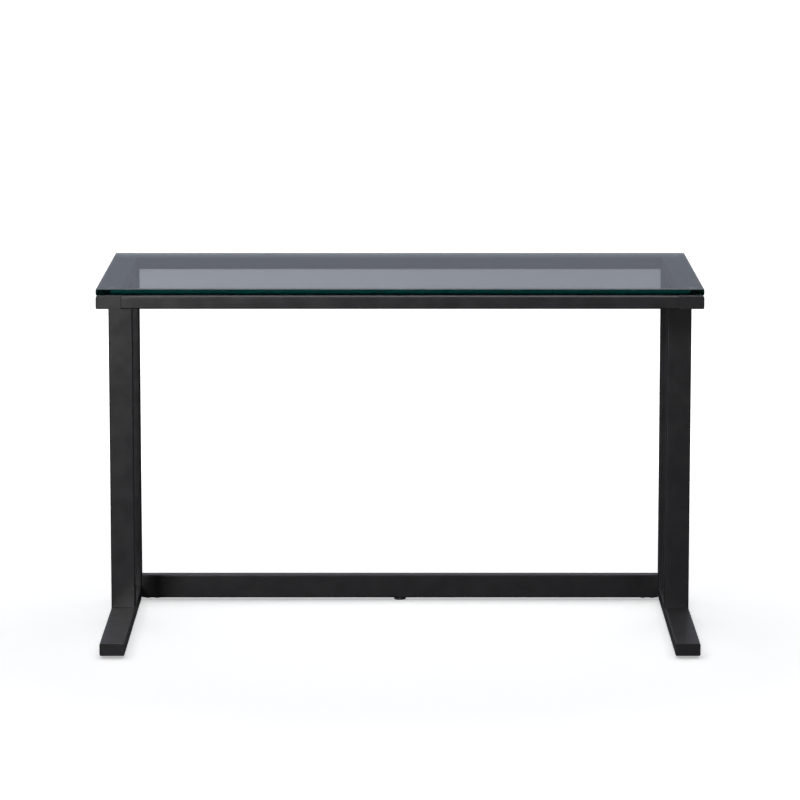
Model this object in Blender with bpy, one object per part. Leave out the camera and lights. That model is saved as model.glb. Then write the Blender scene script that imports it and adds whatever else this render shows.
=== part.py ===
"""Glass-topped computer desk on a base of rectangular steel tube.

Metres, +Z up. The origin is on the floor under the middle of the desk, the front faces -Y and
+X is to the sitter's right. Two side frames (arm, two posts, foot) are tied together by a front
rail, a rear rail and a low stretcher, which slip over spigots on the side frames and are locked
by screws from below. A loose glass top lies on soft bumpers. Five levelling glides screw into
weld nuts inside the feet and the stretcher.
"""

import math

import bpy
from mathutils import Matrix, Vector

# Overall size
WIDTH = 1.2192
DEPTH = 0.6096
HEIGHT = 0.7545

# Rectangular tube used for the whole base
TUBE_WIDE = 0.0508
TUBE_NARROW = 0.0254
TUBE_WALL = 0.002
TUBE_CORNER = 0.003
END_PLATE = TUBE_WALL  # the plates are cut from sheet of the same gauge
POST_SETBACK = 0.360  # desk front to the front face of the front post

# Glass top and the bumpers it lies on
GLASS_THICK = 0.012
GLASS_CORNER = 0.004
GLASS_ARRIS = 0.0012
BUMPER_THICK = 0.0019
BUMPER_RADIUS = 0.009
BUMPER_INSET = 0.045  # from the desk's front or rear to a corner bumper

# Spigots welded to the side frames, and the screws that lock the rails on them
SPIGOT_WALL = 0.003
SPIGOT_LENGTH = 0.045
SPIGOT_CLEARANCE = 0.0005
SCREW_RADIUS = 0.003
SCREW_LENGTH = 0.010
SCREW_HEAD_RADIUS = 0.0065
SCREW_HEAD = 0.002
SCREW_CHAMFER = 0.0004
SCREW_HOLE_GAP = 0.0004  # radial, where a screw passes through a rail's wall
KEY_FLATS = 0.004  # across the flats of the hex key
KEY_DEPTH = 0.0014
SCREW_PLACES = (("outer", 0.012), ("inner", 0.032))  # distance from the rail's end

# Levelling glides
FOOT_LIFT = 0.005  # floor to the underside of the feet and the stretcher
GLIDE_INSET = 0.045  # foot's end to the glide's axis
PAD_RADIUS = TUBE_NARROW / 2  # as wide as the stretcher that the middle pad stands under
PAD_THICK = 0.003
PAD_EDGE = 0.0008
PEG_RADIUS = 0.00295
PEG_DEPTH = 0.0016
COLLAR_FLATS = 0.013
STEM_RADIUS = 0.00395
STEM_HEADROOM = 0.002  # from the stem's tip to the wall above it
STEM_CHAMFER = 0.0007
STEM_HOLE_GAP = 0.00065  # radial, where a stem passes through a wall
NUT_FLATS = 0.013
NUT_HEIGHT = 0.0065

# Clearances
SEAT_GAP = 0.0003  # between pieces that touch or are welded
RUNNING_GAP = 0.0002  # along the axis, between the pad and the stem that turns in it
THREAD_GAP = 0.00005  # radial, between a thread and its bore
SOCKET_GAP = 0.0001  # radial, between the peg and the pad's socket

# Fineness of round shapes. Counts of sides are multiples of 12, so that a hexagon keeps its corners
CORNER_STEPS = 3
ROUND_SIDES = 24
SCREW_SIDES = 12
DRILL_RUNOUT = 0.001  # a cutter starts this far outside the piece

SIDES = (("left", -1), ("right", 1))

# Heights worked out from the sizes above
FOOT_TOP = FOOT_LIFT + TUBE_NARROW
GLASS_BOTTOM = HEIGHT - GLASS_THICK
FRAME_TOP = GLASS_BOTTOM - BUMPER_THICK - 2 * SEAT_GAP
FRAME_BOTTOM = FRAME_TOP - TUBE_NARROW
POST_BOTTOM = FOOT_TOP + SEAT_GAP
POST_LENGTH = FRAME_BOTTOM - SEAT_GAP - POST_BOTTOM
STEM_TOP = FOOT_TOP - TUBE_WALL - STEM_HEADROOM

# Places worked out from the sizes above
FRONT = -DEPTH / 2
REAR = DEPTH / 2
SIDE_X = WIDTH / 2 - TUBE_WIDE / 2
JOINT_X = WIDTH / 2 - TUBE_WIDE - SEAT_GAP  # end of the rails and the stretcher
POST_PLACES = (
    ("front", FRONT + POST_SETBACK + TUBE_NARROW / 2),
    ("rear", REAR - TUBE_NARROW / 2),
)

# Shading
SMOOTH_ANGLE = math.radians(30)
VIEWPORT_CLEARNESS = 0.7

# Turns a piece modelled along +Z to lie along +Y or +X
ALONG_Z = Matrix.Identity(4)
ALONG_Y = Matrix.Rotation(math.radians(-90), 4, "X")
ALONG_X = Matrix.Rotation(math.radians(90), 4, "Y")


def clear_scene():
    for thing in list(bpy.data.objects):
        bpy.data.objects.remove(thing, do_unlink=True)


def principled(name, color, roughness, metallic=0.0, transmission=0.0):
    material = bpy.data.materials.new(name)
    material.use_nodes = True
    shader = material.node_tree.nodes["Principled BSDF"]
    shader.inputs["Base Color"].default_value = (*color, 1.0)
    shader.inputs["Roughness"].default_value = roughness
    shader.inputs["Metallic"].default_value = metallic
    shader.inputs["Transmission Weight"].default_value = transmission
    material.diffuse_color = (*color, 1.0 - VIEWPORT_CLEARNESS * transmission)
    return material


def rounded_rectangle(width, height, radius):
    """Outline in XY, counter-clockwise, centred on the origin, with an arc at each corner."""
    centres = ((1, 1), (-1, 1), (-1, -1), (1, -1))
    points = []
    for quarter, (sign_x, sign_y) in enumerate(centres):
        centre_x = sign_x * (width / 2 - radius)
        centre_y = sign_y * (height / 2 - radius)
        for step in range(CORNER_STEPS + 1):
            angle = math.radians(90) * (quarter + step / CORNER_STEPS)
            points.append((centre_x + radius * math.cos(angle), centre_y + radius * math.sin(angle)))
    return points


def circle(radius, sides=ROUND_SIDES):
    angles = [2 * math.pi * side / sides for side in range(sides)]
    return [(radius * math.cos(angle), radius * math.sin(angle)) for angle in angles]


def hexagon(flats, sides=ROUND_SIDES):
    """Hexagon with as many points as a circle, so that one can be lofted to the other."""
    sixth = math.radians(60)
    points = []
    for side in range(sides):
        angle = 2 * math.pi * side / sides
        radius = flats / 2 / math.cos((angle + sixth / 2) % sixth - sixth / 2)
        points.append((radius * math.cos(angle), radius * math.sin(angle)))
    return points


def loft_mesh(name, sections, hollow=False):
    """Skin through the sections, each (outline, height), from the bottom up on the outside.

    A solid is capped at its first and last section. A hollow shape comes back down on its
    inside, and its last section joins its first.
    """
    count = len(sections[0][0])
    points = [(x, y, height) for outline, height in sections for x, y in outline]
    faces = []
    steps = len(sections) if hollow else len(sections) - 1
    for step in range(steps):
        low = step * count
        high = (step + 1) % len(sections) * count
        for i in range(count):
            after = (i + 1) % count
            faces.append((low + i, low + after, high + after, high + i))
    if not hollow:
        last = (len(sections) - 1) * count
        faces.append(tuple(reversed(range(count))))
        faces.append(tuple(range(last, last + count)))
    mesh = bpy.data.meshes.new(name)
    mesh.from_pydata(points, [], faces)
    mesh.update()
    mesh.shade_smooth()
    mesh.set_sharp_from_angle(angle=SMOOTH_ANGLE)
    return mesh


def place(name, mesh, material, location, turn=ALONG_Z, parent=None):
    """Puts a mesh in the scene as an object of its own."""
    piece = bpy.data.objects.new(name, mesh)
    if not mesh.materials:
        mesh.materials.append(material)
    bpy.context.scene.collection.objects.link(piece)
    piece.matrix_world = Matrix.Translation(Vector(location)) @ turn
    if parent:
        piece.parent = parent
        piece.matrix_parent_inverse = Matrix.Translation(-parent.location)
    return piece


def tube_mesh(name, size_x, size_y, length, wall=TUBE_WALL, corner=TUBE_CORNER):
    """Open rectangular tube along +Z, centred on the origin."""
    outer = rounded_rectangle(size_x, size_y, corner)
    inner = rounded_rectangle(size_x - 2 * wall, size_y - 2 * wall, max(corner - wall, corner / 4))
    low, high = -length / 2, length / 2
    return loft_mesh(name, ((outer, low), (outer, high), (inner, high), (inner, low)), hollow=True)


def drill(piece, places, radius, bottom, depth, sides=ROUND_SIDES):
    """Bores vertical holes of one radius into a piece from its underside, at each (x, y)."""
    disc = circle(radius, sides)
    points, faces = [], []
    for x, y in places:
        low = len(points)
        high = low + sides
        points += [(x + dx, y + dy, bottom - DRILL_RUNOUT) for dx, dy in disc]
        points += [(x + dx, y + dy, bottom + depth) for dx, dy in disc]
        faces.append(tuple(reversed(range(low, high))))
        faces.append(tuple(range(high, high + sides)))
        for i in range(sides):
            after = (i + 1) % sides
            faces.append((low + i, low + after, high + after, high + i))
    cutter_name = f"{piece.name}_drill_{len(piece.modifiers)}"
    mesh = bpy.data.meshes.new(cutter_name)
    mesh.from_pydata(points, [], faces)
    cutter = bpy.data.objects.new(cutter_name, mesh)
    cutter.hide_render = True
    cutter.display_type = "WIRE"
    bpy.context.scene.collection.objects.link(cutter)
    bore = piece.modifiers.new("holes", "BOOLEAN")
    bore.operation = "DIFFERENCE"
    bore.solver = "EXACT"
    bore.object = cutter


def glass_top(glass):
    """Loose plate with rounded corners and a small arris ground along every edge."""
    body = rounded_rectangle(WIDTH, DEPTH, GLASS_CORNER)
    face = rounded_rectangle(WIDTH - 2 * GLASS_ARRIS, DEPTH - 2 * GLASS_ARRIS, GLASS_CORNER - GLASS_ARRIS)
    sections = (
        (face, 0),
        (body, GLASS_ARRIS),
        (body, GLASS_THICK - GLASS_ARRIS),
        (face, GLASS_THICK),
    )
    place("glass_top", loft_mesh("glass_top", sections), glass, (0, 0, GLASS_BOTTOM))


def glass_bumpers(rubber):
    """Six soft discs between the frame and the glass."""
    disc = circle(BUMPER_RADIUS)
    mesh = loft_mesh("glass_bumper", ((disc, 0), (disc, BUMPER_THICK)))
    rows = (("front", -1), ("rear", 1))
    for row, sign in rows:
        corner_y = sign * (DEPTH / 2 - BUMPER_INSET)
        middle_y = sign * (DEPTH / 2 - TUBE_WIDE / 2)
        columns = (("left", -SIDE_X, corner_y), ("middle", 0, middle_y), ("right", SIDE_X, corner_y))
        for column, x, y in columns:
            name = f"glass_bumper_{row}_{column}"
            place(name, mesh, rubber, (x, y, FRAME_TOP + SEAT_GAP))


def end_plates(member, side_name, side, height, steel):
    """Plates that close the front and rear ends of an arm or a foot."""
    outline = rounded_rectangle(TUBE_WIDE, TUBE_NARROW, TUBE_CORNER)
    for end_name, y in (("front", FRONT), ("rear", REAR - END_PLATE)):
        name = f"{member}_{end_name}_plate_{side_name}"
        mesh = loft_mesh(name, ((outline, 0), (outline, END_PLATE)))
        place(name, mesh, steel, (side * SIDE_X, y, height), ALONG_Y)


def side_frame(side_name, side, steel):
    """Arm, two posts and foot, welded edge to edge, with their end plates."""
    length = DEPTH - 2 * (END_PLATE + SEAT_GAP)
    for member, bottom in (("arm", FRAME_BOTTOM), ("foot", FOOT_LIFT)):
        name = f"{member}_{side_name}"
        middle = bottom + TUBE_NARROW / 2
        tube = tube_mesh(name, TUBE_WIDE, TUBE_NARROW, length)
        piece = place(name, tube, steel, (side * SIDE_X, 0, middle), ALONG_Y)
        end_plates(member, side_name, side, middle, steel)
        if member == "foot":
            ends = (FRONT + GLIDE_INSET, REAR - GLIDE_INSET)
            holes = [(side * SIDE_X, y) for y in ends]
            drill(piece, holes, STEM_RADIUS + STEM_HOLE_GAP, bottom, 2 * TUBE_WALL)
    for post, y in POST_PLACES:
        name = f"{post}_post_{side_name}"
        tube = tube_mesh(name, TUBE_WIDE, TUBE_NARROW, POST_LENGTH)
        place(name, tube, steel, (side * SIDE_X, y, POST_BOTTOM + POST_LENGTH / 2))


def screw_mesh():
    """Low-headed screw pointing up: its head hangs below z = 0, with a hex socket from below."""
    socket = hexagon(KEY_FLATS, SCREW_SIDES)
    rim = circle(SCREW_HEAD_RADIUS - SCREW_CHAMFER, SCREW_SIDES)
    head = circle(SCREW_HEAD_RADIUS, SCREW_SIDES)
    shank = circle(SCREW_RADIUS, SCREW_SIDES)
    point = circle(SCREW_RADIUS - SCREW_CHAMFER, SCREW_SIDES)
    sections = (
        (socket, KEY_DEPTH - SCREW_HEAD),
        (socket, -SCREW_HEAD),
        (rim, -SCREW_HEAD),
        (head, SCREW_CHAMFER - SCREW_HEAD),
        (head, 0),
        (shank, 0),
        (shank, SCREW_LENGTH - SCREW_CHAMFER),
        (point, SCREW_LENGTH),
    )
    return loft_mesh("rail_screw", sections)


def rail(name, size_y, size_z, y, bottom, steel, zinc, screw):
    """Tube across the desk, its two spigots and the four screws that lock it from below."""
    middle = bottom + size_z / 2
    tube = tube_mesh(name, size_z, size_y, 2 * JOINT_X)
    piece = place(name, tube, steel, (0, y, middle), ALONG_X)
    inside_y = size_y - 2 * (TUBE_WALL + SPIGOT_CLEARANCE)
    inside_z = size_z - 2 * (TUBE_WALL + SPIGOT_CLEARANCE)
    spigot_hole = TUBE_WALL + SPIGOT_CLEARANCE + 2 * SPIGOT_WALL
    all_places = []
    for side_name, side in SIDES:
        spigot_name = f"{name}_spigot_{side_name}"
        spigot_tube = tube_mesh(spigot_name, inside_z, inside_y, SPIGOT_LENGTH, SPIGOT_WALL)
        spigot_x = side * (JOINT_X - SPIGOT_LENGTH / 2)
        spigot = place(spigot_name, spigot_tube, steel, (spigot_x, y, middle), ALONG_X)
        places = [(side * (JOINT_X - distance), y) for _, distance in SCREW_PLACES]
        drill(spigot, places, SCREW_RADIUS + THREAD_GAP, bottom, spigot_hole, SCREW_SIDES)
        for (place_name, _), (x, _) in zip(SCREW_PLACES, places):
            screw_name = f"{name}_screw_{side_name}_{place_name}"
            place(screw_name, screw, zinc, (x, y, bottom - SEAT_GAP))
        all_places += places
    drill(piece, all_places, SCREW_RADIUS + SCREW_HOLE_GAP, bottom, 2 * TUBE_WALL, SCREW_SIDES)
    return piece


def pad_mesh():
    """Round pad with a blind socket in its top, where the stem's peg turns."""
    socket = circle(PEG_RADIUS + SOCKET_GAP)
    floor = PAD_THICK - PEG_DEPTH
    sections = (
        (circle(PAD_RADIUS - PAD_EDGE), 0),
        (circle(PAD_RADIUS), PAD_EDGE),
        (circle(PAD_RADIUS), PAD_THICK - PAD_EDGE),
        (circle(PAD_RADIUS - PAD_EDGE), PAD_THICK),
        (socket, PAD_THICK),
        (socket, floor),
    )
    return loft_mesh("glide_pad", sections)


def stem_mesh():
    """Threaded stem with a hexagonal collar for a thin spanner, and a peg that turns in the pad."""
    peg = circle(PEG_RADIUS)
    collar = hexagon(COLLAR_FLATS)
    stem = circle(STEM_RADIUS)
    collar_bottom = PAD_THICK + RUNNING_GAP
    collar_top = FOOT_LIFT - SEAT_GAP
    sections = (
        (peg, collar_bottom - PEG_DEPTH),
        (peg, collar_bottom),
        (collar, collar_bottom),
        (collar, collar_top),
        (stem, collar_top),
        (stem, STEM_TOP - STEM_CHAMFER),
        (circle(STEM_RADIUS - STEM_CHAMFER), STEM_TOP),
    )
    return loft_mesh("glide_stem", sections)


def nut_mesh():
    """Hexagonal weld nut with a plain bore at the thread's outer radius."""
    outside = hexagon(NUT_FLATS)
    bore = circle(STEM_RADIUS + THREAD_GAP)
    sections = ((outside, 0), (outside, NUT_HEIGHT), (bore, NUT_HEIGHT), (bore, 0))
    return loft_mesh("glide_nut", sections, hollow=True)


def glides(places, nylon, zinc):
    """A pad, a stem and a weld nut at each place. Pad and stem hang on an empty on their axis."""
    pad, stem, nut = pad_mesh(), stem_mesh(), nut_mesh()
    for name, x, y in places:
        axis = bpy.data.objects.new(f"glide_axis_{name}", None)
        axis.location = (x, y, 0)
        bpy.context.scene.collection.objects.link(axis)
        place(f"glide_pad_{name}", pad, nylon, (x, y, 0), parent=axis)
        place(f"glide_stem_{name}", stem, zinc, (x, y, 0), parent=axis)
        place(f"glide_nut_{name}", nut, zinc, (x, y, FOOT_LIFT + TUBE_WALL + SEAT_GAP))


def main():
    clear_scene()
    steel = principled("graphite_powder_coat", (0.043, 0.042, 0.047), roughness=0.42, metallic=0.2)
    zinc = principled("zinc_plated_steel", (0.55, 0.56, 0.58), roughness=0.35, metallic=1.0)
    glass = principled("clear_glass", (0.80, 0.92, 0.89), roughness=0.0, transmission=1.0)
    rubber = principled("clear_bumper", (0.75, 0.76, 0.76), roughness=0.35, transmission=0.6)
    nylon = principled("black_nylon", (0.02, 0.02, 0.02), roughness=0.5)

    glass_top(glass)
    glass_bumpers(rubber)
    for side_name, side in SIDES:
        side_frame(side_name, side, steel)

    screw = screw_mesh()
    rail_y = DEPTH / 2 - TUBE_WIDE / 2
    stretcher_y = REAR - TUBE_NARROW / 2
    rail("front_rail", TUBE_WIDE, TUBE_NARROW, -rail_y, FRAME_BOTTOM, steel, zinc, screw)
    rail("rear_rail", TUBE_WIDE, TUBE_NARROW, rail_y, FRAME_BOTTOM, steel, zinc, screw)
    stretcher = rail("stretcher", TUBE_NARROW, TUBE_WIDE, stretcher_y, FOOT_LIFT, steel, zinc, screw)
    stem_hole = STEM_RADIUS + STEM_HOLE_GAP
    drill(stretcher, [(0, stretcher_y)], stem_hole, FOOT_LIFT, 2 * TUBE_WALL)

    places = [("centre", 0, stretcher_y)]
    for side_name, side in SIDES:
        places.append((f"front_{side_name}", side * SIDE_X, FRONT + GLIDE_INSET))
        places.append((f"rear_{side_name}", side * SIDE_X, REAR - GLIDE_INSET))
    glides(places, nylon, zinc)


main()
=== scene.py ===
"""Looks of a glass-topped computer desk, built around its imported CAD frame.

Metres, +Z up. The origin is on the floor under the middle of the desk and the front faces -Y.
Each operator builds one group of like pieces from the boxes of the CAD nodes that it stands for,
and the last one sets the stage. main() calls them in order.
"""

import math

import bmesh
import bpy
from bpy.props import FloatProperty, FloatVectorProperty, IntProperty, PointerProperty
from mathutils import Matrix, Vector


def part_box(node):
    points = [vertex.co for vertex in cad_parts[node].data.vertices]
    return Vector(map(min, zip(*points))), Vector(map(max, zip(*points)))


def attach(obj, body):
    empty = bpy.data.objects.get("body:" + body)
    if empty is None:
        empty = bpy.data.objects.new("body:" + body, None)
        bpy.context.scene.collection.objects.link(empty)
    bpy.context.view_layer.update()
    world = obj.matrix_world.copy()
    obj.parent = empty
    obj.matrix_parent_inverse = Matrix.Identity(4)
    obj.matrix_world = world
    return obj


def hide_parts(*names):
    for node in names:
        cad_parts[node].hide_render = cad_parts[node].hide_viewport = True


bl_info = {
    "name": "Glass-Top Computer Desk",
    "version": (1, 0, 0),
    "blender": (4, 5, 0),
    "location": "3D View > Sidebar > Desk",
    "description": "Builds a glass-topped computer desk and its studio around the CAD frame",
    "category": "Object",
}

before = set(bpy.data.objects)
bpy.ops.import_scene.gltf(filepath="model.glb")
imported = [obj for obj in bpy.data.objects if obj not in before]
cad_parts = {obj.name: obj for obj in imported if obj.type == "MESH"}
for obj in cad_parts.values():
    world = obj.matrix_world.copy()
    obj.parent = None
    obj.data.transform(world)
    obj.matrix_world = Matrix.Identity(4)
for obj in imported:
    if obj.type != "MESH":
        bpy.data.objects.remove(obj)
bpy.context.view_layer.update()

SIDES = ("left", "right")
ENDS = ("front", "rear")
GLIDES = ("centre", "front_left", "front_right", "rear_left", "rear_right")
RAILS = ("front_rail", "rear_rail", "stretcher")
ALONG_X, ALONG_Y, ALONG_Z = 0, 1, 2
QUARTER = math.pi / 2
SIXTH = math.pi / 3
TURN = 2 * math.pi
SMOOTH_ANGLE = math.radians(30)
MILLIMETRE = 0.001
STEM_HOLE_SIDES = 48
SCREW_HOLE_SIDES = 32
BEAD_STEPS = 6
CROWN_STEPS = 6


# ---- Sizes and colours that a user would change ----


def length(name, description, default):
    """A size in metres, shown with its unit."""
    return FloatProperty(
        name=name, description=description, default=default, min=0.0, unit="LENGTH", precision=5
    )


def share(name, description, default):
    """A number from 0 to 1."""
    return FloatProperty(
        name=name, description=description, default=default, min=0.0, max=1.0, subtype="FACTOR"
    )


def colour(name, description, default):
    """A linear colour."""
    return FloatVectorProperty(
        name=name, description=description, default=default, min=0.0, size=3, subtype="COLOR"
    )


def count(name, description, default):
    """A whole number of steps or sides."""
    return IntProperty(name=name, description=description, default=default, min=1)


def watts(name, description, default):
    """The power of a light."""
    return FloatProperty(name=name, description=description, default=default, min=0.0, unit="POWER")


class DESK_PG_glass(bpy.types.PropertyGroup):
    """Glass top: its polished edge and the green of the glass."""

    corner: length("Corner", "Radius of the four corners seen from above", 0.004)
    corner_steps: count("Corner steps", "Facets in each corner", 10)
    arris: length("Arris", "Width of the small bevel ground along every edge", 0.0012)
    arris_blend: length("Arris blend", "Rounding where the bevel meets a face", 0.0002)
    absorbed: colour("Passed colour", "Colour that the glass lets through", (0.38, 0.74, 0.72))
    density: FloatProperty(
        name="Density", description="Strength of the tint for each metre of glass", default=18.5
    )
    haze: share("Haze", "Most roughness of the faces, where hands have touched", 0.012)
    ground: share("Ground", "Added roughness of the ground bevels", 0.22)


class DESK_PG_bumpers(bpy.types.PropertyGroup):
    """Clear bumpers between the frame and the glass."""

    shoulder: length("Shoulder", "Rounding of the rim", 0.0006)
    bulge: length("Bulge", "How far the middle of the rim is drawn in", 0.0001)
    sides: count("Sides", "Facets around a bumper", 48)


class DESK_PG_tubes(bpy.types.PropertyGroup):
    """Rectangular steel tube, its end plates and its welds."""

    wall: length("Wall", "Thickness of the tube's wall", 0.002)
    corner: length("Corner", "Outside radius of the tube's corners", 0.003)
    corner_steps: count("Corner steps", "Facets in each corner", 8)
    ease: length("Ease", "Rounding of a sawn end, with its coat", 0.0005)
    hole_rim: length("Hole rim", "Bevel at the edge of a drilled hole", 0.0003)
    stem_hole: length("Stem hole", "Radius of a hole for a levelling glide", 0.0046)
    screw_hole: length("Screw hole", "Radius of a hole for a rail screw", 0.0034)
    bead_leg: length("Bead leg", "Leg of a fillet weld", 0.0009)
    ripple: length("Ripple", "Distance between two ripples of a weld", 0.0013)
    ripple_share: share("Ripple height", "Height of a ripple as a share of the leg", 0.10)
    bead_hollow: share("Bead hollow", "How far a bead's face falls short of a round one", 0.18)


class DESK_PG_hardware(bpy.types.PropertyGroup):
    """Screws, weld nuts and levelling glides."""

    screw_pitch: length("Screw pitch", "Pitch of the rail screws' thread", 0.001)
    screw_radius: length("Screw radius", "Outside radius of a rail screw's thread", 0.003)
    head_thick: length("Head", "Thickness of a rail screw's head", 0.002)
    head_crown: length("Crown", "How far a rail screw's head is domed", 0.0012)
    key_flats: length("Key", "Hex socket of a rail screw across its flats", 0.004)
    key_depth: length("Key depth", "Depth of that hex socket", 0.0014)
    stem_pitch: length("Stem pitch", "Pitch of the levelling thread", 0.00125)
    stem_radius: length("Stem radius", "Outside radius of the levelling thread", 0.00395)
    nut_play: length("Nut play", "Gap between a weld nut's bore and the thread", 0.00005)
    collar_flats: length("Collar", "Stem collar and weld nut across their flats", 0.013)
    collar_gap: length("Collar gap", "Gap between the collar and the tube above it", 0.0003)
    pad_gap: length("Pad gap", "Gap between the collar and the pad below it", 0.0002)
    peg_radius: length("Peg", "Radius of the stem's peg in its pad", 0.00295)
    peg_socket: length("Peg socket", "Radius of the pad's socket", 0.00305)
    turned: share("Turned", "How far past half its flats a hexagon's end is turned", 0.02)
    thread_depth: share("Thread depth", "Depth of a thread as a share of its pitch", 0.61)
    sides: count("Sides", "Facets around a thread or a hexagon", 48)
    pad_sides: count("Pad sides", "Facets around a pad", 64)
    stem_rings: count("Stem rings", "Rings of vertices in each turn of the levelling thread", 10)
    screw_rings: count("Screw rings", "Rings of vertices in each turn of a screw's thread", 8)


class DESK_PG_coat(bpy.types.PropertyGroup):
    """Satin graphite powder coat on every steel part of the base."""

    low: colour("Dark tone", "Colour where the coat is thickest", (0.0085, 0.0082, 0.0094))
    high: colour("Light tone", "Colour where the coat is thinnest", (0.0110, 0.0106, 0.0121))
    peel: length("Peel", "Size of the dimples in the coat", 0.0011)
    gloss: share("Least roughness", "Roughness of the smoothest patches", 0.29)
    matt: share("Most roughness", "Roughness of the dullest patches", 0.34)
    shine: share("Shine", "Specular level of the coat", 0.35)


class DESK_PG_stage(bpy.types.PropertyGroup):
    """Floor, studio light and camera."""

    floor_size: length("Floor size", "Side of the square floor", 160.0)
    floor_glow: share("Floor glow", "Light of the backlit floor sheet under the desk", 0.44)
    backdrop: share("Backdrop", "Light that the far floor sends through the glass", 0.425)
    key: watts("Key", "Power of the left softbox", 268.0)
    fill: watts("Fill", "Power of the right softbox", 52.0)
    rear: watts("Rear", "Power of the softbox above the far floor", 3.0)
    rim: watts("Rim", "Power of each softbox behind the desk, twice that of one beside it", 35.0)
    overhead: FloatProperty(name="Overhead", description="Strength of the light above", default=1.7)
    room: colour("Room", "Grey of the room behind the desk", (0.204, 0.208, 0.245))
    lens: FloatProperty(name="Lens", description="Focal length in millimetres", default=188.05)


# ---- Mesh work ----


def rounded_rectangle(width, height, radius, steps):
    """Outline, counter-clockwise about its centre, with an arc at each corner."""
    points = []
    for quarter, (sign_u, sign_v) in enumerate(((1, 1), (-1, 1), (-1, -1), (1, -1))):
        centre_u = sign_u * (width / 2 - radius)
        centre_v = sign_v * (height / 2 - radius)
        for step in range(steps + 1):
            angle = QUARTER * (quarter + step / steps)
            u, v = radius * math.cos(angle), radius * math.sin(angle)
            points.append((centre_u + u, centre_v + v))
    return points


def polygon(radius_at, sides):
    """Outline whose distance from the centre is radius_at(angle)."""
    angles = [TURN * side / sides for side in range(sides)]
    return [(radius_at(a) * math.cos(a), radius_at(a) * math.sin(a)) for a in angles]


def circle(radius, sides):
    """Outline of a round section."""
    return polygon(lambda angle: radius, sides)


def hexagon(flats, sides, most=math.inf):
    """Hexagon with as many points as a circle, its corners turned down to a radius of most."""

    def radius_at(angle):
        across = flats / 2 / math.cos((angle + SIXTH / 2) % SIXTH - SIXTH / 2)
        return min(across, most)

    return polygon(radius_at, sides)


def turned_hexagon(low, high, chamfer, hardware):
    """Sections of a hexagonal part whose corners are turned down at both ends."""
    flats, sides = hardware.collar_flats, hardware.sides
    end = hexagon(flats, sides, flats / 2 * (1 + hardware.turned))
    whole = hexagon(flats, sides)
    return [(end, low), (whole, low + chamfer), (whole, high - chamfer), (end, high)]


def skin(sections, axis=ALONG_Z, centre=(0, 0), hollow=False):
    """Bmesh skinned through sections, each (outline, place along the axis).

    A solid is capped at its first and last section. A hollow shape comes back on its inside,
    and its last section joins its first.
    """
    work = bmesh.new()
    rings = []
    for outline, along in sections:
        ring = []
        for u, v in outline:
            point = [0.0, 0.0, 0.0]
            point[axis] = along
            point[(axis + 1) % 3] = centre[0] + u
            point[(axis + 2) % 3] = centre[1] + v
            ring.append(work.verts.new(point))
        rings.append(ring)
    sides = len(rings[0])
    spans = len(rings) if hollow else len(rings) - 1
    for span in range(spans):
        low, high = rings[span], rings[(span + 1) % len(rings)]
        for i in range(sides):
            after = (i + 1) % sides
            work.faces.new((low[i], low[after], high[after], high[i]))
    if not hollow:
        work.faces.new(tuple(reversed(rings[0])))
        work.faces.new(tuple(rings[-1]))
    return work


def eased(outline, low, high, ease, steps=3):
    """Sections from low to high of a shape whose two ends are rounded off by ease.

    outline(inset) gives the outline drawn in by that much.
    """
    arc = [QUARTER * step / steps for step in range(steps + 1)]
    rounding = [(ease * (1 - math.sin(a)), ease * (1 - math.cos(a))) for a in arc]
    bottom = [(outline(inset), low + rise) for inset, rise in rounding]
    top = [(outline(inset), high - rise) for inset, rise in reversed(rounding)]
    return bottom + top


def to_mesh(name, *works):
    """One clean mesh from one or more bmeshes, smooth but for its sharp edges."""
    mesh = bpy.data.meshes.new(name)
    joined = bmesh.new()
    for work in works:
        part = bpy.data.meshes.new("part")
        bmesh.ops.recalc_face_normals(work, faces=work.faces)
        work.to_mesh(part)
        work.free()
        joined.from_mesh(part)
        bpy.data.meshes.remove(part)
    joined.to_mesh(mesh)
    joined.free()
    mesh.shade_smooth()
    mesh.set_sharp_from_angle(angle=SMOOTH_ANGLE)
    return mesh


def node_box(node):
    """Lowest corner, highest corner and middle of a CAD node."""
    low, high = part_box(node)
    return low, high, (low + high) / 2


def add_piece(name, mesh, finish, body="root", stands_for=(), place=(0, 0, 0)):
    """Puts a piece on its body, in its finish, in place of the CAD nodes that it stands for."""
    piece = bpy.data.objects.new(name, mesh)
    bpy.context.scene.collection.objects.link(piece)
    piece.location = place
    if not mesh.materials:
        mesh.materials.append(finish)
    normals = piece.modifiers.new("even_normals", "WEIGHTED_NORMAL")
    normals.keep_sharp = True
    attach(piece, body)
    if stands_for:
        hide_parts(*stands_for)
    return piece


def add_at_glides(part, piece, mesh, material, moves=True, height=0.0):
    """Puts one mesh at that height in each glide, on a body of its own if the part moves."""
    for name in GLIDES:
        node = f"glide_{part}_{name}"
        _, _, middle = node_box(node)
        add_piece(
            f"{piece}_{name}", mesh, material, body=f"{part}_{name}" if moves else "root",
            stands_for=(node,), place=(middle.x, middle.y, height),
        )


def tube(node, axis, tubes, ease=0.0):
    """Bmesh of a rectangular tube that fills a CAD node's box, its sawn ends eased outside."""
    low, high, middle = node_box(node)
    size = high - low
    wide, tall = size[(axis + 1) % 3], size[(axis + 2) % 3]
    wall = tubes.wall

    def outline(inset):
        radius = max(tubes.corner - inset, MILLIMETRE / 2)
        return rounded_rectangle(wide - 2 * inset, tall - 2 * inset, radius, tubes.corner_steps)

    if ease:
        outside = eased(outline, low[axis], high[axis], ease)
    else:
        outside = [(outline(0), low[axis]), (outline(0), high[axis])]
    inside = [(outline(wall), high[axis]), (outline(wall), low[axis])]
    centre = (middle[(axis + 1) % 3], middle[(axis + 2) % 3])
    return skin(outside + inside, axis, centre, hollow=True)


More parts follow.
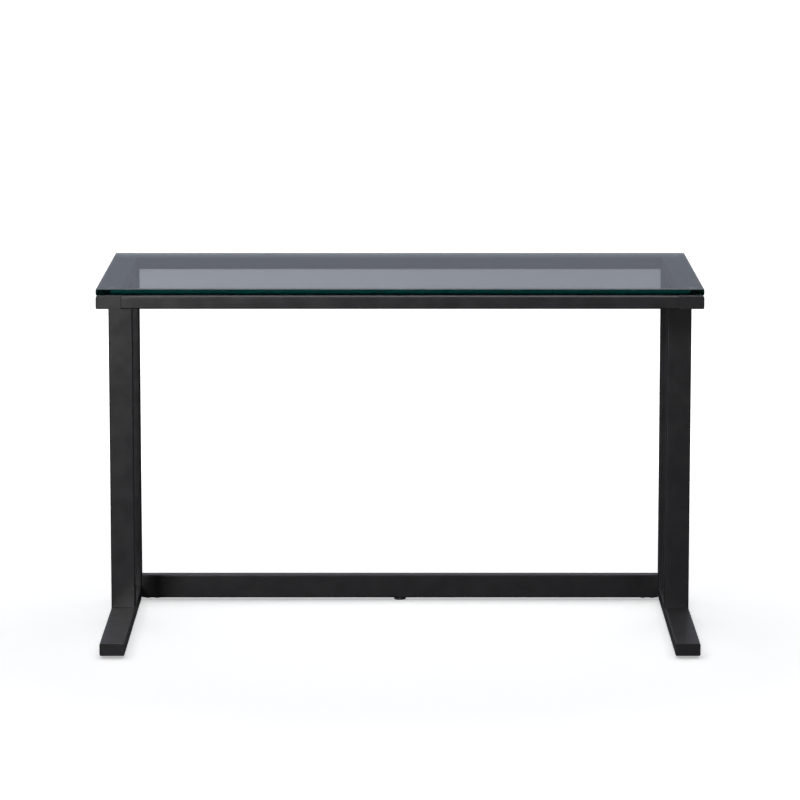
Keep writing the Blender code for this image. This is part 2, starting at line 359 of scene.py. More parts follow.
def drilled(mesh, places, radius, sides, bottom, tubes):
    """Copy of a tube's mesh with holes through its lower wall at each (x, y), bevelled below."""
    rim, runout = tubes.hole_rim, MILLIMETRE
    sections = (
        (circle(radius + rim + runout, sides), bottom - runout),
        (circle(radius, sides), bottom + rim),
        (circle(radius, sides), bottom + 2 * tubes.wall),
    )
    cutter_mesh = to_mesh("drill", *(skin(sections, ALONG_Z, place) for place in places))
    cutter = bpy.data.objects.new("drill", cutter_mesh)
    blank = bpy.data.objects.new("blank", mesh)
    for thing in (cutter, blank):
        bpy.context.scene.collection.objects.link(thing)
    bore = blank.modifiers.new("bore", "BOOLEAN")
    bore.operation = "DIFFERENCE"
    bore.solver = "EXACT"
    bore.object = cutter
    bpy.context.view_layer.update()
    graph = bpy.context.evaluated_depsgraph_get()
    bored = bpy.data.meshes.new_from_object(blank.evaluated_get(graph))
    bored.name = f"{mesh.name}_bored"
    bored.set_sharp_from_angle(angle=SMOOTH_ANGLE)
    for thing in (cutter, blank):
        bpy.data.objects.remove(thing)
    return bored


def threaded(radius, pitch, rings_per_turn, low, high, hardware):
    """Sections of a vertical screw thread inside that radius, run out at both ends."""
    depth = hardware.thread_depth * pitch
    slope = 2.4  # fall of a thread's side over one pitch, in depths
    crest = 0.1  # part of that fall, in depths, that is cut off to leave a flat crest
    runout = 0.6  # depth of the plain ends, in depths of the thread
    rings = round((high - low) / pitch * rings_per_turn)
    sections = []
    for ring in range(rings + 1):
        along = low + (high - low) * ring / rings
        full = min(1.0, (along - low) / pitch, (high - along) / pitch)

        def radius_at(angle, along=along, full=full):
            phase = ((along - low) / pitch - angle / TURN) % 1.0
            groove = min(1.0, max(0.0, slope * abs(phase - 0.5) - crest))
            return radius - depth * (groove * full + (1 - full) * runout)

        sections.append((polygon(radius_at, hardware.sides), along))
    return sections


# ---- Finishes ----


def new_group(name, inputs, outputs):
    """Shader node group with float inputs, each (name, default), and float outputs."""
    tree = bpy.data.node_groups.new(name, "ShaderNodeTree")
    kind = "NodeSocketFloat"
    for socket_name, default in inputs:
        socket = tree.interface.new_socket(socket_name, in_out="INPUT", socket_type=kind)
        socket.default_value = default
    for socket_name in outputs:
        tree.interface.new_socket(socket_name, in_out="OUTPUT", socket_type=kind)
    return tree, tree.nodes.new("NodeGroupInput"), tree.nodes.new("NodeGroupOutput")


def feed(tree, socket, term):
    """Feeds a socket from another socket, or sets it to a number."""
    if isinstance(term, bpy.types.NodeSocket):
        tree.links.new(term, socket)
    else:
        socket.default_value = term


def maths(tree, operation, *terms):
    """Result of a sum on sockets and numbers."""
    node = tree.nodes.new("ShaderNodeMath")
    node.operation = operation
    for socket, term in zip(node.inputs, terms):
        feed(tree, socket, term)
    return node.outputs["Value"]


def smooth_change(tree, value, start, end, low, high):
    """Smooth change of a number, from low where the value is start to high where it is end."""
    change = tree.nodes.new("ShaderNodeMapRange")
    change.interpolation_type = "SMOOTHSTEP"
    limits = {"From Min": start, "From Max": end, "To Min": low, "To Max": high}
    for name, limit in limits.items():
        feed(tree, change.inputs[name], limit)
    tree.links.new(value, change.inputs["Value"])
    return change.outputs["Result"]


def noise_of_size(tree, size_socket, detail):
    """Noise on the piece's own coordinates whose features have the size at that socket."""
    place = tree.nodes.new("ShaderNodeTexCoord")
    noise = tree.nodes.new("ShaderNodeTexNoise")
    noise.inputs["Detail"].default_value = detail
    tree.links.new(maths(tree, "DIVIDE", 1.0, size_socket), noise.inputs["Scale"])
    tree.links.new(place.outputs["Object"], noise.inputs["Vector"])
    return noise.outputs[0]


def fine_grain_group():
    """Small even dimples, as in a sprayed coat, a plated skin or a textured mould."""
    tree, given, result = new_group("fine_grain", (("Size", 0.001),), ("Height",))
    height = noise_of_size(tree, given.outputs["Size"], detail=1.5)
    tree.links.new(height, result.inputs["Height"])
    return tree


def uneven_group():
    """Slow change over the surface between two values."""
    inputs = (("Size", 0.05), ("Low", 0.0), ("High", 1.0))
    tree, given, result = new_group("uneven", inputs, ("Value",))
    noise = noise_of_size(tree, given.outputs["Size"], detail=3.0)
    low, high = given.outputs["Low"], given.outputs["High"]
    value = smooth_change(tree, noise, start=0.32, end=0.68, low=low, high=high)
    tree.links.new(value, result.inputs["Value"])
    return tree


def placed_group(tree, name, build, **values):
    """Puts a shared group, built when first needed, in a material with its own values."""
    node = tree.nodes.new("ShaderNodeGroup")
    node.node_tree = bpy.data.node_groups.get(name) or build()
    for socket_name, value in values.items():
        node.inputs[socket_name].default_value = value
    return node


def new_material(name, metallic=0.0, transmission=0.0, ior=1.5):
    """Material, its node tree and its Principled shader."""
    material = bpy.data.materials.new(name)
    material.use_nodes = True
    shader = material.node_tree.nodes["Principled BSDF"]
    shader.inputs["Metallic"].default_value = metallic
    shader.inputs["Transmission Weight"].default_value = transmission
    shader.inputs["IOR"].default_value = ior
    return material, material.node_tree, shader


def vary_roughness(tree, shader, size, low, high):
    """Roughness in soft patches of that size."""
    patches = placed_group(tree, "uneven", uneven_group, Size=size, Low=low, High=high)
    tree.links.new(patches.outputs["Value"], shader.inputs["Roughness"])


def vary_colour(tree, shader, size, low, high):
    """Base colour in soft patches of that size."""
    patches = placed_group(tree, "uneven", uneven_group, Size=size)
    tones = tree.nodes.new("ShaderNodeMix")
    tones.data_type = "RGBA"
    colours = [socket for socket in tones.inputs if socket.type == "RGBA"]
    colours[0].default_value = (*low, 1.0)
    colours[1].default_value = (*high, 1.0)
    tree.links.new(patches.outputs["Value"], tones.inputs["Factor"])
    result = next(socket for socket in tones.outputs if socket.type == "RGBA")
    tree.links.new(result, shader.inputs["Base Color"])


def grain_bump(tree, shader, size, depth):
    """Fine bump of that size and depth."""
    grain = placed_group(tree, "fine_grain", fine_grain_group, Size=size)
    bump = tree.nodes.new("ShaderNodeBump")
    bump.inputs["Strength"].default_value = 1.0
    bump.inputs["Distance"].default_value = depth
    tree.links.new(grain.outputs["Height"], bump.inputs["Height"])
    tree.links.new(bump.outputs["Normal"], shader.inputs["Normal"])


def powder_coat(coat):
    """Satin graphite powder coat with a fine orange peel."""
    material, tree, shader = new_material("satin_graphite_coat")
    vary_colour(tree, shader, size=0.004, low=coat.low, high=coat.high)
    vary_roughness(tree, shader, size=0.035, low=coat.gloss, high=coat.matt)
    grain_bump(tree, shader, size=coat.peel, depth=0.00003)
    shader.inputs["Specular IOR Level"].default_value = coat.shine
    return material


def clear_glass(glass):
    """Polished float glass, tinted by its depth, with a duller ground arris."""
    material, tree, shader = new_material("green_edged_glass", transmission=1.0, ior=1.52)
    shader.inputs["Base Color"].default_value = (1.0, 1.0, 1.0, 1.0)
    patches = placed_group(tree, "uneven", uneven_group, Size=0.09, Low=0.0, High=glass.haze)
    ground = tree.nodes.new("ShaderNodeAttribute")
    ground.attribute_name = "ground"
    duller, haze = ground.outputs["Fac"], patches.outputs["Value"]
    rough = maths(tree, "MULTIPLY_ADD", duller, glass.ground, haze)
    tree.links.new(rough, shader.inputs["Roughness"])
    tint = tree.nodes.new("ShaderNodeVolumeAbsorption")
    tint.inputs["Color"].default_value = (*glass.absorbed, 1.0)
    tint.inputs["Density"].default_value = glass.density
    output = next(node for node in tree.nodes if node.type == "OUTPUT_MATERIAL")
    tree.links.new(tint.outputs["Volume"], output.inputs["Volume"])
    return material


def clear_bumper():
    """Soft clear polyurethane with a satin skin."""
    material, tree, shader = new_material("clear_polyurethane", transmission=0.9, ior=1.49)
    vary_colour(tree, shader, size=0.006, low=(0.86, 0.87, 0.86), high=(0.93, 0.93, 0.92))
    vary_roughness(tree, shader, size=0.004, low=0.18, high=0.30)
    grain_bump(tree, shader, size=0.0004, depth=0.00001)
    return material


def zinc_plate():
    """Bright zinc with the faint mottling of a barrel-plated part."""
    material, tree, shader = new_material("bright_zinc", metallic=1.0)
    vary_colour(tree, shader, size=0.003, low=(0.50, 0.52, 0.55), high=(0.66, 0.67, 0.68))
    vary_roughness(tree, shader, size=0.002, low=0.24, high=0.42)
    grain_bump(tree, shader, size=0.0003, depth=0.000006)
    return material


def moulded_nylon():
    """Black nylon from a finely textured mould."""
    material, tree, shader = new_material("black_nylon")
    vary_colour(tree, shader, size=0.004, low=(0.012, 0.012, 0.012), high=(0.020, 0.020, 0.021))
    vary_roughness(tree, shader, size=0.005, low=0.42, high=0.58)
    grain_bump(tree, shader, size=0.0005, depth=0.00002)
    return material


def finish(name, build, *settings):
    """A finish that is made once and then shared."""
    return bpy.data.materials.get(name) or build(*settings)


# ---- Pieces ----


def coat_of(context):
    """The base's coat, shared by all of its steel parts."""
    return finish("satin_graphite_coat", powder_coat, context.scene.desk_coat)


class DESK_OT_glass_top(bpy.types.Operator):
    """Glass plate with rounded corners and a ground arris along every edge"""

    bl_idname = "desk.glass_top"
    bl_label = "Glass Top"

    def execute(self, context):
        glass = context.scene.desk_glass
        low, high, middle = node_box("glass_top")
        size = high - low

        def outline(inset):
            wide, deep = size.x - 2 * inset, size.y - 2 * inset
            return rounded_rectangle(wide, deep, glass.corner - inset, glass.corner_steps)

        arris, blend = glass.arris, glass.arris_blend
        profile = (
            (arris + blend, 0),
            (arris - blend / 2, blend / 2),
            (blend / 2, arris - blend / 2),
            (0, arris + blend),
        )
        bottom = [(outline(inset), low.z + rise) for inset, rise in profile]
        top = [(outline(inset), high.z - rise) for inset, rise in reversed(profile)]
        work = skin(bottom + top, ALONG_Z, middle.xy)
        mesh = to_mesh("glass_top_plate", work)
        ground = mesh.attributes.new("ground", "FLOAT", "FACE")
        upright, flat = 0.05, 0.95
        for face in mesh.polygons:
            slanted = upright < abs(face.normal.z) < flat
            ground.data[face.index].value = 1.0 if slanted else 0.0
        material = finish("green_edged_glass", clear_glass, glass)
        add_piece("glass_top_plate", mesh, material, stands_for=("glass_top",))
        return {"FINISHED"}


class DESK_OT_glass_bumpers(bpy.types.Operator):
    """Six clear bumpers between the frame and the glass"""

    bl_idname = "desk.glass_bumpers"
    bl_label = "Glass Bumpers"

    def execute(self, context):
        bumpers = context.scene.desk_bumpers
        low, high, _ = node_box("glass_bumper_front_left")
        radius = (high.x - low.x) / 2
        thick = high.z - low.z

        def outline(inset):
            return circle(radius - inset, bumpers.sides)

        sections = eased(outline, 0.0, thick, bumpers.shoulder, steps=5)
        waist = (outline(bumpers.bulge), thick / 2)
        half = len(sections) // 2
        mesh = to_mesh("bumper", skin(sections[:half] + [waist] + sections[half:]))
        material = finish("clear_polyurethane", clear_bumper)
        for row in ENDS:
            for column in ("left", "middle", "right"):
                node = f"glass_bumper_{row}_{column}"
                low, _, middle = node_box(node)
                add_piece(
                    f"bumper_{row}_{column}", mesh, material,
                    stands_for=(node,), place=(middle.x, middle.y, low.z),
                )
        return {"FINISHED"}


class DESK_OT_side_frames(bpy.types.Operator):
    """Arms, posts and feet of the two side frames, cut from rectangular tube"""

    bl_idname = "desk.side_frames"
    bl_label = "Side Frames"

    def execute(self, context):
        tubes = context.scene.desk_tubes
        coat = coat_of(context)
        for side in SIDES:
            members = [(f"{end}_post_{side}", ALONG_Z) for end in ENDS]
            members += [(f"arm_{side}", ALONG_Y), (f"foot_{side}", ALONG_Y)]
            for node, axis in members:
                mesh = to_mesh(f"{node}_tube", tube(node, axis, tubes))
                if node.startswith("foot"):
                    mesh = self.bored_for_glides(mesh, side, tubes)
                add_piece(f"{node}_tube", mesh, coat, stands_for=(node,))
        return {"FINISHED"}

    @staticmethod
    def bored_for_glides(mesh, side, tubes):
        """Foot with the holes that its two glides go up through."""
        low, _, _ = node_box(f"foot_{side}")
        middles = [node_box(f"glide_stem_{end}_{side}")[2] for end in ENDS]
        places = [middle.xy for middle in middles]
        return drilled(mesh, places, tubes.stem_hole, STEM_HOLE_SIDES, low.z, tubes)


class DESK_OT_end_plates(bpy.types.Operator):
    """Plates that close the arms and the feet, their welds ground flush"""

    bl_idname = "desk.end_plates"
    bl_label = "End Plates"

    def execute(self, context):
        tubes = context.scene.desk_tubes
        coat = coat_of(context)
        for side in SIDES:
            for member in ("arm", "foot"):
                tube_low, tube_high, _ = node_box(f"{member}_{side}")
                for end in ENDS:
                    node = f"{member}_{end}_plate_{side}"
                    low, high, middle = node_box(node)
                    wide, tall = high.x - low.x, high.z - low.z

                    def outline(inset, wide=wide, tall=tall):
                        radius = tubes.corner - inset
                        return rounded_rectangle(
                            tall - 2 * inset, wide - 2 * inset, radius, tubes.corner_steps
                        )

                    rounded = eased(outline, low.y, high.y, tubes.ease)
                    half = len(rounded) // 2
                    if end == "front":
                        sections = rounded[:half] + [(outline(0), tube_low.y)]
                    else:
                        sections = [(outline(0), tube_high.y)] + rounded[half:]
                    work = skin(sections, ALONG_Y, (middle.z, middle.x))
                    mesh = to_mesh(f"{node}_ground", work)
                    add_piece(f"{node}_ground", mesh, coat, stands_for=(node,))
        return {"FINISHED"}


class DESK_OT_frame_welds(bpy.types.Operator):
    """Welds that join the posts to the arms and the feet"""

    bl_idname = "desk.frame_welds"
    bl_label = "Frame Welds"

    def execute(self, context):
        tubes = context.scene.desk_tubes
        coat = coat_of(context)
        for side in SIDES:
            arm_low, _, _ = node_box(f"arm_{side}")
            _, foot_high, _ = node_box(f"foot_{side}")
            for end in ENDS:
                post = node_box(f"{end}_post_{side}")
                post_low, post_high, _ = post
                joints = (
                    ("top", post_high.z, arm_low.z, -1),
                    ("foot", post_low.z, foot_high.z, 1),
                )
                for joint, post_end, face, outward in joints:
                    works = [self.flush_seam(post, post_end, face, tubes)]
                    works.append(self.bead(post, post_low.y, -1, face, outward, tubes))
                    if end == "front":
                        works.append(self.bead(post, post_high.y, 1, face, outward, tubes))
                    name = f"weld_{end}_post_{joint}_{side}"
                    add_piece(name, to_mesh(name, *works), coat)
        return {"FINISHED"}

    @staticmethod
    def flush_seam(post, post_end, face, tubes):
        """Weld metal ground level with the tubes: it fills the gap at the end of a post and the
        groove beside the other tube's rounded corner."""
        low, high, middle = post
        wide, deep = high.x - low.x, high.y - low.y
        corner, steps = tubes.corner, tubes.corner_steps
        into = math.copysign(corner, face - post_end)
        tucked = MILLIMETRE
        whole = rounded_rectangle(wide, deep, corner, steps)
        narrow = rounded_rectangle(wide, deep - 2 * tucked, corner - tucked, steps)
        sections = ((whole, post_end), (whole, face), (narrow, face), (narrow, face + into))
        return skin(sections, ALONG_Z, middle.xy)

    @staticmethod
    def bead(post, corner_y, toward_y, corner_z, toward_z, tubes):
        """Fillet weld across a post's front or rear face, with its ripples."""
        low, high, _ = post
        first, last = low.x + tubes.corner, high.x - tubes.corner
        stations = round((last - first) / tubes.ripple * BEAD_STEPS)
        arc = [QUARTER * step / BEAD_STEPS for step in range(BEAD_STEPS + 1)]
        buried = MILLIMETRE / 4
        least = 0.35  # leg at the ends of the bead, as a share of the full leg
        sections = []
        for station in range(stations + 1):
            along = first + (last - first) * station / stations
            taper = min(1.0, (along - first) / tubes.bead_leg, (last - along) / tubes.bead_leg)
            wave = abs(math.sin(math.pi * (along - first) / tubes.ripple))
            ripple = 1 - tubes.ripple_share * (1 - wave)
            leg = tubes.bead_leg * (least + (1 - least) * math.sqrt(taper)) * ripple
            outline = [(-toward_y * buried, -toward_z * buried)]
            for angle in arc:
                bulge = leg * (1 - tubes.bead_hollow * math.sin(2 * angle))
                u, v = bulge * math.cos(angle), bulge * math.sin(angle)
                outline.append((toward_y * u, toward_z * v))
            sections.append((outline, along))
        return skin(sections, ALONG_X, (corner_y, corner_z))


class DESK_OT_rails(bpy.types.Operator):
    """Front rail, rear rail and stretcher, slipped over their spigots"""

    bl_idname = "desk.rails"
    bl_label = "Rails and Stretcher"

    def execute(self, context):
        tubes = context.scene.desk_tubes
        coat = coat_of(context)
        for node in RAILS:
            low, _, _ = node_box(node)
            mesh = to_mesh(f"{node}_tube", tube(node, ALONG_X, tubes, ease=tubes.ease))
            screws = [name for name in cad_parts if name.startswith(f"{node}_screw")]
            places = [node_box(screw)[2].xy for screw in sorted(screws)]
            mesh = drilled(mesh, places, tubes.screw_hole, SCREW_HOLE_SIDES, low.z, tubes)
            if node == "stretcher":
                places = [node_box("glide_stem_centre")[2].xy]
                mesh = drilled(mesh, places, tubes.stem_hole, STEM_HOLE_SIDES, low.z, tubes)
            add_piece(f"{node}_tube", mesh, coat, stands_for=(node,))
        return {"FINISHED"}


class DESK_OT_spigots(bpy.types.Operator):
    """Coat on the spigots inside the rails, which keep their CAD shape"""

    bl_idname = "desk.spigots"
    bl_label = "Spigots"

    def execute(self, context):
        coat = coat_of(context)
        for rail in RAILS:
            for side in SIDES:
                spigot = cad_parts[f"{rail}_spigot_{side}"]
                spigot.data.materials.clear()
                spigot.data.materials.append(coat)
        return {"FINISHED"}


class DESK_OT_rail_screws(bpy.types.Operator):
    """Low button-headed screws that lock the rails from below"""

    bl_idname = "desk.rail_screws"
    bl_label = "Rail Screws"

    def execute(self, context):
        hardware = context.scene.desk_hardware
        material = finish("bright_zinc", zinc_plate)
        mesh = None
        for rail in RAILS:
            for side in SIDES:
                for place in ("outer", "inner"):
                    node = f"{rail}_screw_{side}_{place}"
                    low, high, middle = node_box(node)
                    mesh = mesh or self.screw(high - low, hardware)
                    add_piece(
                        f"{node}_threaded", mesh, material,
                        stands_for=(node,), place=(middle.x, middle.y, low.z),
                    )
        return {"FINISHED"}

    @staticmethod
    def screw(size, hardware):
        """Screw that points up from z = 0 at the crown of its head."""
        sides = hardware.sides
        bevel = MILLIMETRE / 5
        key_flats, key_depth = hardware.key_flats, hardware.key_depth
        head_radius, head = size.x / 2, hardware.head_thick
        face = key_flats * 0.66  # radius of the flat ring around the key
        drill, drill_point = key_flats / 2 * 0.9, MILLIMETRE / 3
        sections = [
            (circle(MILLIMETRE / 4, sides), key_depth + drill_point),
            (circle(drill, sides), key_depth),
            (hexagon(key_flats, sides), key_depth),
            (hexagon(key_flats, sides), bevel),
            (circle(face, sides), 0.0),
        ]
        for step in range(1, CROWN_STEPS + 1):
            angle = QUARTER * step / CROWN_STEPS
            radius = face + (head_radius - face) * math.sin(angle)
            sections.append((circle(radius, sides), hardware.head_crown * (1 - math.cos(angle))))
        sections += [
            (circle(head_radius, sides), head - bevel),
            (circle(head_radius - bevel, sides), head),
            (circle(hardware.screw_radius - MILLIMETRE / 2, sides), head),
        ]
        thread = threaded(
            hardware.screw_radius, hardware.screw_pitch, hardware.screw_rings,
            head, size.z - MILLIMETRE / 2, hardware,
        )
        sections += thread[1:]
        sections.append((circle(hardware.screw_radius - MILLIMETRE, sides), size.z))
        return to_mesh("rail_screw", skin(sections))


class DESK_OT_weld_nuts(bpy.types.Operator):
    """Hexagonal weld nuts inside the feet and the stretcher"""

    bl_idname = "desk.weld_nuts"
    bl_label = "Weld Nuts"

    def execute(self, context):
        hardware = context.scene.desk_hardware
        material = finish("bright_zinc", zinc_plate)
        low, high, _ = node_box("glide_nut_centre")
        tall = high.z - low.z
        bevel = MILLIMETRE / 2
        bore_radius = hardware.stem_radius + hardware.nut_play
        bore = circle(bore_radius, hardware.sides)
        mouth = circle(bore_radius + bevel, hardware.sides)
        sections = turned_hexagon(0.0, tall, 1.3 * bevel, hardware)
        sections += [(mouth, tall), (bore, tall - bevel), (bore, bevel), (mouth, 0.0)]
        mesh = to_mesh("weld_nut", skin(sections, hollow=True))
        add_at_glides("nut", "weld_nut", mesh, material, moves=False, height=low.z)
        return {"FINISHED"}


class DESK_OT_glide_stems(bpy.types.Operator):
    """Threaded stems of the levelling glides, each with a spanner collar and a peg"""

    bl_idname = "desk.glide_stems"
    bl_label = "Glide Stems"

    def execute(self, context):
        hardware = context.scene.desk_hardware
        material = finish("bright_zinc", zinc_plate)
        low, high, _ = node_box("glide_stem_centre")
        _, pad_high, _ = node_box("glide_pad_centre")
        tube_low, _, _ = node_box("stretcher")
        collar_low = pad_high.z + hardware.pad_gap
        mesh = self.stem(low.z, collar_low, tube_low.z - hardware.collar_gap, high.z, hardware)
        add_at_glides("stem", "stem", mesh, material)
        return {"FINISHED"}

    @staticmethod
    def stem(peg_low, collar_low, collar_high, top, hardware):
        """Peg, hexagonal collar and thread, from the peg's end up."""
        sides, peg, radius = hardware.sides, hardware.peg_radius, hardware.stem_radius
        bevel = 0.3 * MILLIMETRE
        sections = [
            (circle(peg - bevel, sides), peg_low),
            (circle(peg, sides), peg_low + bevel),
            (circle(peg, sides), collar_low),
        ]
        sections += turned_hexagon(collar_low, collar_high, bevel, hardware)
        sections.append((circle(radius - MILLIMETRE, sides), collar_high))
        sections += threaded(
            radius, hardware.stem_pitch, hardware.stem_rings,
            collar_high + bevel, top - 2 * bevel, hardware,
        )
        sections.append((circle(radius - 1.3 * MILLIMETRE, sides), top))
        return to_mesh("glide_stem", skin(sections))


class DESK_OT_glide_pads(bpy.types.Operator):
    """Black nylon pads that stand on the floor"""

    bl_idname = "desk.glide_pads"
    bl_label = "Glide Pads"

    def execute(self, context):
        material = finish("black_nylon", moulded_nylon)
        low, high, _ = node_box("glide_pad_centre")
        mesh = self.pad((high.x - low.x) / 2, high.z - low.z, context.scene.desk_hardware)
        add_at_glides("pad", "pad", mesh, material, height=low.z)
        return {"FINISHED"}

    @staticmethod
    def pad(radius, thick, hardware):
        """Disc with a rounded rim, a moulded groove on top and a blind socket for the peg."""
        socket = hardware.peg_socket
        rim_bottom = ((0.0012, 0.0), (0.0006, 0.00012), (0.0002, 0.0004), (0.0, 0.0009))
        rim_top = ((0.0, 0.0012), (0.0002, 0.0007), (0.0007, 0.0002), (0.0015, 0.0))
        groove = ((0.0030, 0.0), (0.0032, 0.0003), (0.0040, 0.0003), (0.0042, 0.0))
        socket_wall = ((0.0003, 0.0), (0.0, 0.0003), (0.0, 0.0016))
        profile = [(radius - inset, rise) for inset, rise in rim_bottom]
        profile += [(radius - inset, thick - drop) for inset, drop in rim_top + groove]
        profile += [(socket + inset, thick - drop) for inset, drop in socket_wall]
        sections = [(circle(ring, hardware.pad_sides), height) for ring, height in profile]
        return to_mesh("glide_pad", skin(sections))


# ---- Stage ----


def chosen_by_ray(tree, kind, direct, other):
    """Shows one shader to rays of a kind and another to all others."""
    path = tree.nodes.new("ShaderNodeLightPath")
    choice = tree.nodes.new("ShaderNodeMixShader")
    tree.links.new(path.outputs[kind], choice.inputs["Fac"])
    tree.links.new(other, choice.inputs[1])
    tree.links.new(direct, choice.inputs[2])
    return choice.outputs["Shader"]


def change_along(tree, coordinates, axis, start, end, low, high):
    """Smooth change of a number along an axis of those coordinates."""
    place = tree.nodes.new("ShaderNodeTexCoord")
    split = tree.nodes.new("ShaderNodeSeparateXYZ")
    tree.links.new(place.outputs[coordinates], split.inputs["Vector"])
    return smooth_change(tree, split.outputs[axis], start, end, low, high)


def change_outward(tree, start, end, low, high):
    """Smooth change of a number with the distance from the middle of the floor."""
    place = tree.nodes.new("ShaderNodeTexCoord")
    distance = tree.nodes.new("ShaderNodeVectorMath")
    distance.operation = "LENGTH"
    tree.links.new(place.outputs["Object"], distance.inputs[0])
    return smooth_change(tree, distance.outputs["Value"], start, end, low, high)


def lit_and_glowing(tree, albedo, glow):
    """Diffuse shader with light of its own: the emission node and the whole shader."""
    paper = tree.nodes.new("ShaderNodeBsdfDiffuse")
    paper.inputs["Color"].default_value = (*albedo, 1.0)
    light = tree.nodes.new("ShaderNodeEmission")
    light.inputs["Color"].default_value = (*glow, 1.0)
    total = tree.nodes.new("ShaderNodeAddShader")
    tree.links.new(paper.outputs["BSDF"], total.inputs[0])
    tree.links.new(light.outputs["Emission"], total.inputs[1])
    return light, total.outputs["Shader"]


class DESK_OT_stage(bpy.types.Operator):
    """Pale floor, soft studio light and the camera"""

    bl_idname = "desk.stage"
    bl_label = "Stage"

    def execute(self, context):
        stage = context.scene.desk_stage
        self.floor(stage)
        self.room(stage)
        self.lights(stage)
        self.camera(stage)
        context.scene.view_settings.view_transform = "Standard"
        return {"FINISHED"}

    @staticmethod
    def floor(stage):
        work = bmesh.new()
        bmesh.ops.create_grid(work, x_segments=8, y_segments=8, size=stage.floor_size / 2)
        mesh = bpy.data.meshes.new("floor")
        work.to_mesh(mesh)
        work.free()
        floor = bpy.data.objects.new("floor", mesh)
        bpy.context.scene.collection.objects.link(floor)
        material = bpy.data.materials.new("pale_floor")
        material.use_nodes = True
        tree = material.node_tree
        tree.nodes.remove(tree.nodes["Principled BSDF"])
        # What the camera sees: white paper, lit from below away from the desk.
        glow, seen = lit_and_glowing(tree, albedo=(0.93, 0.93, 0.93), glow=(1.0, 1.0, 1.0))
        outward = change_outward(tree, start=0.8, end=2.2, low=stage.floor_glow, high=1.0)
        tree.links.new(outward, glow.inputs["Strength"])
        # What shows through the glass: a darker sheet whose glow is painted light, a little
        # brighter on the left as if lit from that side.
        glow, through = lit_and_glowing(tree, albedo=(0.28, 0.26, 0.29), glow=(0.99, 0.90, 1.0))
        lowest, highest = stage.backdrop / 2, stage.backdrop
        outward = change_outward(tree, start=1.0, end=4.0, low=lowest, high=highest)
        across = change_along(tree, "Object", "X", start=-1.0, end=1.0, low=1.12, high=0.84)
        tree.links.new(maths(tree, "MULTIPLY", outward, across), glow.inputs["Strength"])
        # Painted shade: to what lights the desk from below and is mirrored in it, the floor is
        # dark, and darkest in front, though the camera sees it white.
        bounce = tree.nodes.new("ShaderNodeBsdfDiffuse")
        rearward = change_along(tree, "Object", "Y", start=-3.5, end=-0.6, low=0.03, high=0.11)
        tree.links.new(rearward, bounce.inputs["Color"])
        unseen = chosen_by_ray(tree, "Is Transmission Ray", through, bounce.outputs["BSDF"])
        surface = chosen_by_ray(tree, "Is Camera Ray", seen, unseen)
        output = next(node for node in tree.nodes if node.type == "OUTPUT_MATERIAL")
        tree.links.new(surface, output.inputs["Surface"])
        mesh.materials.append(material)

    @staticmethod
    def room(stage):
        world = bpy.data.worlds.new("studio")
        world.use_nodes = True
        tree = world.node_tree
        grey = next(node for node in tree.nodes if node.type == "BACKGROUND")
        grey.inputs["Color"].default_value = (*stage.room, 1.0)
        behind = change_along(tree, "Generated", "Y", start=-0.3, end=0.5, low=0.0, high=1.0)
        above = change_along(tree, "Generated", "Z", start=0.03, end=0.09, low=0.1, high=1.0)
        tree.links.new(maths(tree, "MULTIPLY", behind, above), grey.inputs["Strength"])
        white = tree.nodes.new("ShaderNodeBackground")
        white.inputs["Color"].default_value = (1.0, 1.0, 1.0, 1.0)
        skies = (white.outputs["Background"], grey.outputs["Background"])
        output = next(node for node in tree.nodes if node.type == "OUTPUT_WORLD")
        tree.links.new(chosen_by_ray(tree, "Is Camera Ray", *skies), output.inputs["Surface"])
        bpy.context.scene.world = world

    @staticmethod
    def lights(stage):
        def light(name, kind, energy, place, target):
            data = bpy.data.lights.new(name, kind)
            data.energy = energy
            lamp = bpy.data.objects.new(name, data)
            lamp.location = place
            toward = Vector(target) - Vector(place)
            lamp.rotation_euler = toward.to_track_quat("-Z", "Y").to_euler()
            bpy.context.scene.collection.objects.link(lamp)
            return lamp

        def unlit(name, *pieces):
            """Collection of the objects that a softbox is flagged off."""
            flagged = bpy.data.collections.new(name)
            for piece in pieces:
                flagged.objects.link(bpy.data.objects[piece])
            for member in flagged.collection_objects:
                member.light_linking.link_state = "EXCLUDE"
            return flagged

        above = light("overhead", "SUN", stage.overhead, (-0.3, 1.3, 4.0), (0, 0, 0))
        above.data.angle = math.radians(80)
        off_glass = unlit("off_glass", "glass_top_plate")
        above.light_linking.blocker_collection = off_glass
        off_both = unlit("off_glass_and_floor", "glass_top_plate", "floor")
        middle = (0, 0, 0.5)
        softboxes = (
            ("left_softbox", stage.key, (-1.9, -4.6, 1.7), middle, (1.2, 1.2), off_both),
            ("right_softbox", stage.fill, (2.2, -5.0, 1.5), middle, (1.2, 1.2), off_both),
            ("far_softbox", stage.rear, (0, 6.5, 3.5), (0, 6.5, 0), (8.0, 4.0), off_glass),
            ("rear_left_softbox", stage.rim, (-3.0, 3.0, 4.4), middle, (3.0, 3.0), off_both),
            ("rear_right_softbox", stage.rim, (3.0, 3.4, 4.6), middle, (3.0, 3.0), off_both),
            ("right_side_softbox", stage.rim / 2, (4.6, -0.4, 3.4), middle, (2.0, 2.0), off_both),
            ("left_side_softbox", stage.rim / 2, (-4.6, -0.4, 3.4), middle, (2.0, 2.0), off_both),
        )
        for name, power, place, target, (wide, tall), flagged in softboxes:
            softbox = light(name, "AREA", power, place, target)
            softbox.data.shape = "RECTANGLE"
            softbox.data.size = wide
            softbox.data.size_y = tall
            softbox.light_linking.receiver_collection = flagged

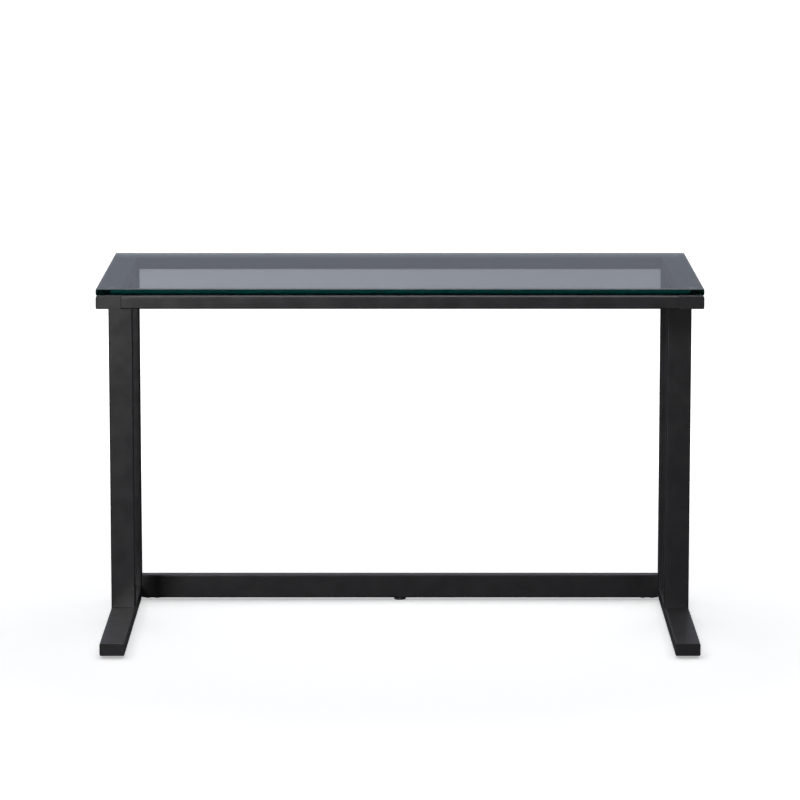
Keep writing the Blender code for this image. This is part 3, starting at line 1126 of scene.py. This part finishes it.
    @staticmethod
    def camera(stage):
        data = bpy.data.cameras.new("camera")
        data.lens = stage.lens
        data.clip_end = 2 * stage.floor_size
        camera = bpy.data.objects.new("camera", data)
        camera.location = (0.0, -8.5958, 1.8358)
        camera.rotation_euler = (math.radians(81.054), 0.0, 0.0)
        bpy.context.scene.collection.objects.link(camera)
        bpy.context.scene.camera = camera


# ---- Panel and registration ----

OPERATORS = (
    DESK_OT_glass_top,
    DESK_OT_glass_bumpers,
    DESK_OT_side_frames,
    DESK_OT_end_plates,
    DESK_OT_frame_welds,
    DESK_OT_rails,
    DESK_OT_spigots,
    DESK_OT_rail_screws,
    DESK_OT_weld_nuts,
    DESK_OT_glide_stems,
    DESK_OT_glide_pads,
    DESK_OT_stage,
)

SETTINGS = {
    "desk_glass": DESK_PG_glass,
    "desk_bumpers": DESK_PG_bumpers,
    "desk_tubes": DESK_PG_tubes,
    "desk_hardware": DESK_PG_hardware,
    "desk_coat": DESK_PG_coat,
    "desk_stage": DESK_PG_stage,
}


class DESK_PT_build(bpy.types.Panel):
    """Lists the desk's builders in the order in which they run"""

    bl_idname = "DESK_PT_build"
    bl_label = "Glass-Top Desk"
    bl_space_type = "VIEW_3D"
    bl_region_type = "UI"
    bl_category = "Desk"

    def draw(self, context):
        column = self.layout.column(align=True)
        for operator in OPERATORS:
            column.operator(operator.bl_idname)


def register():
    for group in SETTINGS.values():
        bpy.utils.register_class(group)
    for operator in OPERATORS:
        bpy.utils.register_class(operator)
    bpy.utils.register_class(DESK_PT_build)
    for name, group in SETTINGS.items():
        setattr(bpy.types.Scene, name, PointerProperty(type=group))


def unregister():
    for name in SETTINGS:
        delattr(bpy.types.Scene, name)
    bpy.utils.unregister_class(DESK_PT_build)
    for operator in reversed(OPERATORS):
        bpy.utils.unregister_class(operator)
    for group in reversed(SETTINGS.values()):
        bpy.utils.unregister_class(group)


def main():
    register()
    bpy.ops.desk.glass_top()
    bpy.ops.desk.glass_bumpers()
    bpy.ops.desk.side_frames()
    bpy.ops.desk.end_plates()
    bpy.ops.desk.frame_welds()
    bpy.ops.desk.rails()
    bpy.ops.desk.spigots()
    bpy.ops.desk.rail_screws()
    bpy.ops.desk.weld_nuts()
    bpy.ops.desk.glide_stems()
    bpy.ops.desk.glide_pads()
    bpy.ops.desk.stage()


if __name__ == "__main__":
    main()
